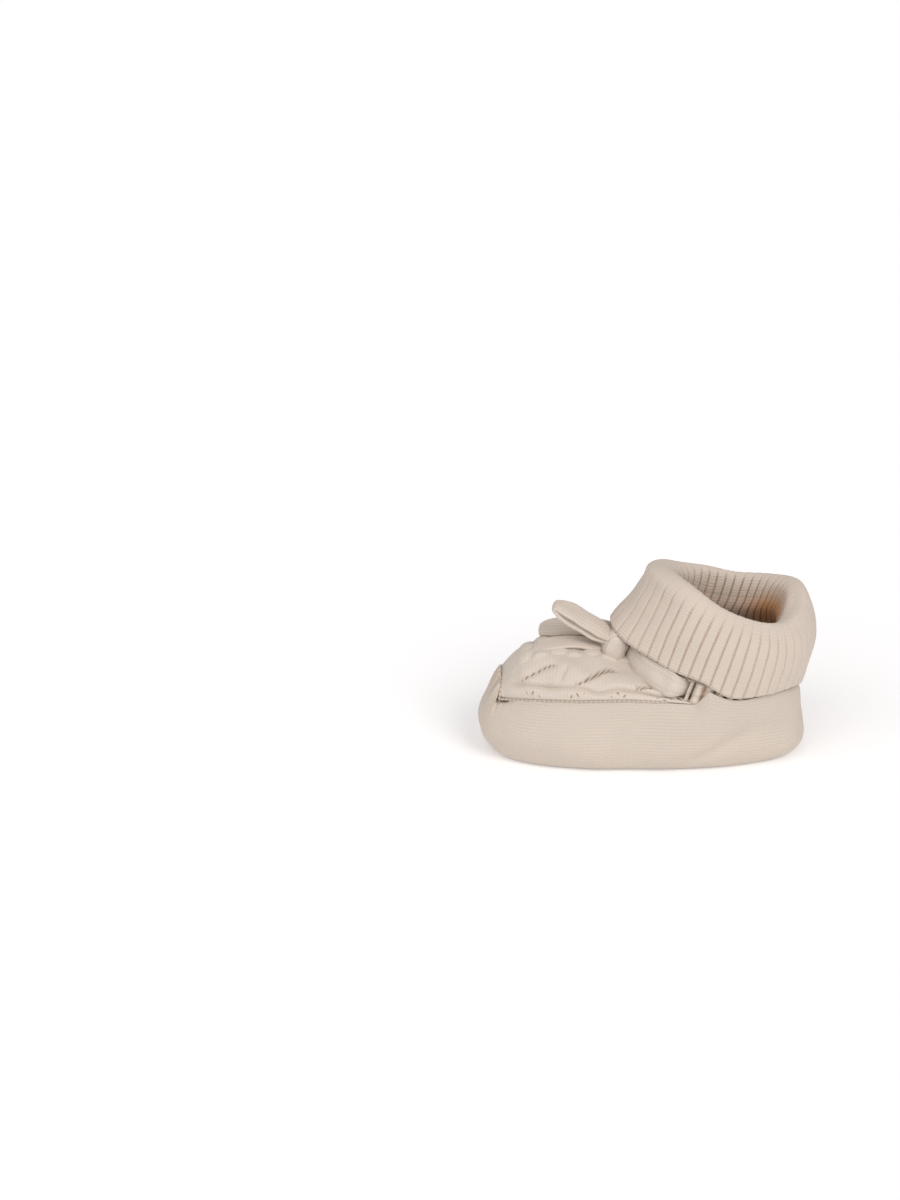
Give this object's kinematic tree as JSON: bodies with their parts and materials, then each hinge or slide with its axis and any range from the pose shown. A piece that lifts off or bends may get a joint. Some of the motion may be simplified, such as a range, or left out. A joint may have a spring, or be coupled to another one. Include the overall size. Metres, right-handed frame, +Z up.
{
  "type": "baby bootie",
  "caption": "Soft knitted baby bootie with a lace instep, an eyelet row with a tape tie and bow, and a ribbed turn-down cuff.",
  "frame": {"origin": "bottom centre of the bounding box, on the flat sole", "axes": "+Z up; toe towards -Y and heel towards +Y; the bow's near loop and the view's near side on +X"},
  "size_m": [0.051, 0.1077, 0.0619],
  "materials": {
    "foot_knit": "matte fine jersey knit",
    "lace_knit": "matte pointelle knit",
    "rib_knit": "matte two by two rib knit",
    "seam_yarn": "matte linking yarn",
    "tape_knit": "matte knitted tape"
  },
  "bodies": {
    "shoe": {"foot_shell": "foot_knit", "instep_panel": "lace_knit", "instep_seam": "seam_yarn", "sole_seam": "seam_yarn", "eyelet_band": "lace_knit", "ankle_rib": "rib_knit", "tie_band": "tape_knit", "bow_knot": "tape_knit"},
    "cuff": {"cuff": "rib_knit"},
    "loop_near": {"bow_loop_near": "tape_knit"},
    "loop_far": {"bow_loop_far": "tape_knit"},
    "tail_front": {"bow_tail_front": "tape_knit"},
    "tail_far": {"bow_tail_far": "tape_knit"}
  },
  "joints": [
    {"name": "cuff_turn_up", "type": "slide", "parent": "shoe", "child": "cuff", "axis": [0, 0.3256, 0.9455], "range_m": [0, 0.024]},
    {"name": "loop_near_swing", "type": "hinge", "parent": "shoe", "child": "loop_near", "pos_m": [0.0029, -0.0126, 0.0392], "axis": [0, 0, 1], "range_deg": [-5, 40]},
    {"name": "loop_far_swing", "type": "hinge", "parent": "shoe", "child": "loop_far", "pos_m": [-0.004, -0.0133, 0.0393], "axis": [0, 0, -1], "range_deg": [0, 42]},
    {"name": "tail_front_swing", "type": "hinge", "parent": "shoe", "child": "tail_front", "pos_m": [0.0024, -0.0126, 0.0349], "axis": [0, 0, 1], "range_deg": [-5, 28]},
    {"name": "tail_far_lift", "type": "hinge", "parent": "shoe", "child": "tail_far", "pos_m": [-0.005, -0.0122, 0.0348], "axis": [0.5762, 0.8173, 0], "range_deg": [0, 40]}
  ]
}
